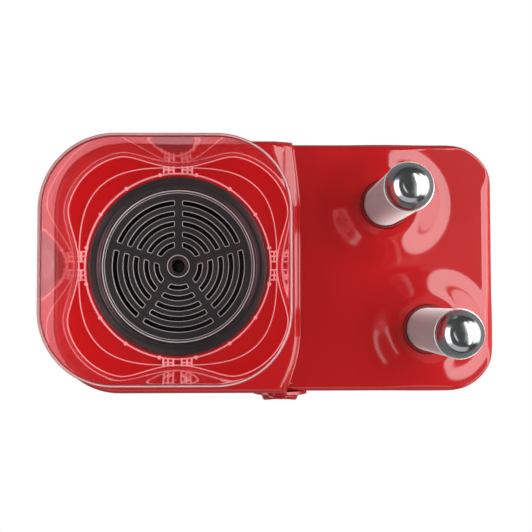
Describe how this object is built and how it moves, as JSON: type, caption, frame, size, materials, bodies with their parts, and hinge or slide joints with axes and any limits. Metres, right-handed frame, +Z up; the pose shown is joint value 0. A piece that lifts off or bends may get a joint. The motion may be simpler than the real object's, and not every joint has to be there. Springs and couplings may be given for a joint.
{
  "type": "hot dog maker",
  "caption": "Countertop hot dog maker: moulded base with a steam boiler under a clear lift-off container, heated bun spikes and a rotary knob.",
  "frame": {"origin": "centre of the whole object's box, on the surface it stands on", "axes": "+X to the object's right (spike side), -Y towards the front with the knob, +Z up"},
  "size_m": [0.3544, 0.2144, 0.1906],
  "materials": {
    "red_plastic": "glossy injection-moulded red",
    "black_plastic": "matt black, fine moulded grain",
    "pan_black": "black heat-proof coating, satin",
    "plate_black": "dark charcoal moulded plate, fine grain",
    "clear_plastic": "clear moulded polycarbonate",
    "spike_steel": "satin sleeve with a polished dome",
    "inner_steel": "zinc-plated steel",
    "collar_dark": "dark heat-proof collar",
    "rubber": "matt rubber",
    "ceramic": "off-white moulded body",
    "wire": "silicone-sleeved wire",
    "gasket": "silicone gasket"
  },
  "bodies": {
    "base": {"base_housing": "red_plastic", "boiler_heater": "inner_steel", "boiler_pan": "pan_black", "bottom_cover": "black_plastic", "bracket_screw_front_1": "inner_steel", "bracket_screw_front_2": "inner_steel", "bracket_screw_rear_1": "inner_steel", "bracket_screw_rear_2": "inner_steel", "clamp_nut": "inner_steel", "cord_gland": "black_plastic", "cover_screw_front_left": "inner_steel", "cover_screw_front_right": "inner_steel", "cover_screw_rear_left": "inner_steel", "cover_screw_rear_right": "inner_steel", "foot_front_left": "rubber", "foot_front_right": "rubber", "foot_rear_left": "rubber", "foot_rear_right": "rubber", "heater_clamp": "inner_steel", "knob_bezel": "red_plastic", "pan_gasket": "gasket", "rotary_switch": "ceramic", "shaft_bushing": "inner_steel", "spike_bracket_front": "inner_steel", "spike_bracket_rear": "inner_steel", "spike_collar_front": "collar_dark", "spike_collar_rear": "collar_dark", "spike_front": "spike_steel", "spike_heater_front": "inner_steel", "spike_heater_rear": "inner_steel", "spike_rear": "spike_steel", "terminal_block": "ceramic", "thermal_fuse": "inner_steel", "thermostat": "ceramic", "wire_boiler": "wire", "wire_spike_front": "wire", "wire_spike_rear": "wire", "wire_switch": "wire"},
    "container": {"container_wall": "clear_plastic", "container_tray": "clear_plastic"},
    "steam_plate": {"steam_plate": "plate_black"},
    "knob": {"control_knob": "red_plastic", "knob_shaft": "inner_steel"}
  },
  "joints": [
    {"name": "container_lift", "type": "slide", "parent": "base", "child": "container", "axis": [0, 0, 1], "range_m": [0, 0.13]},
    {"name": "steam_plate_lift", "type": "slide", "parent": "base", "child": "steam_plate", "axis": [0, 0, 1], "range_m": [0, 0.15]},
    {"name": "knob_turn", "type": "hinge", "parent": "base", "child": "knob", "pos_m": [0.004, -0.10235, 0.038], "axis": [0, -1, 0], "range_deg": [-90, 90]}
  ]
}
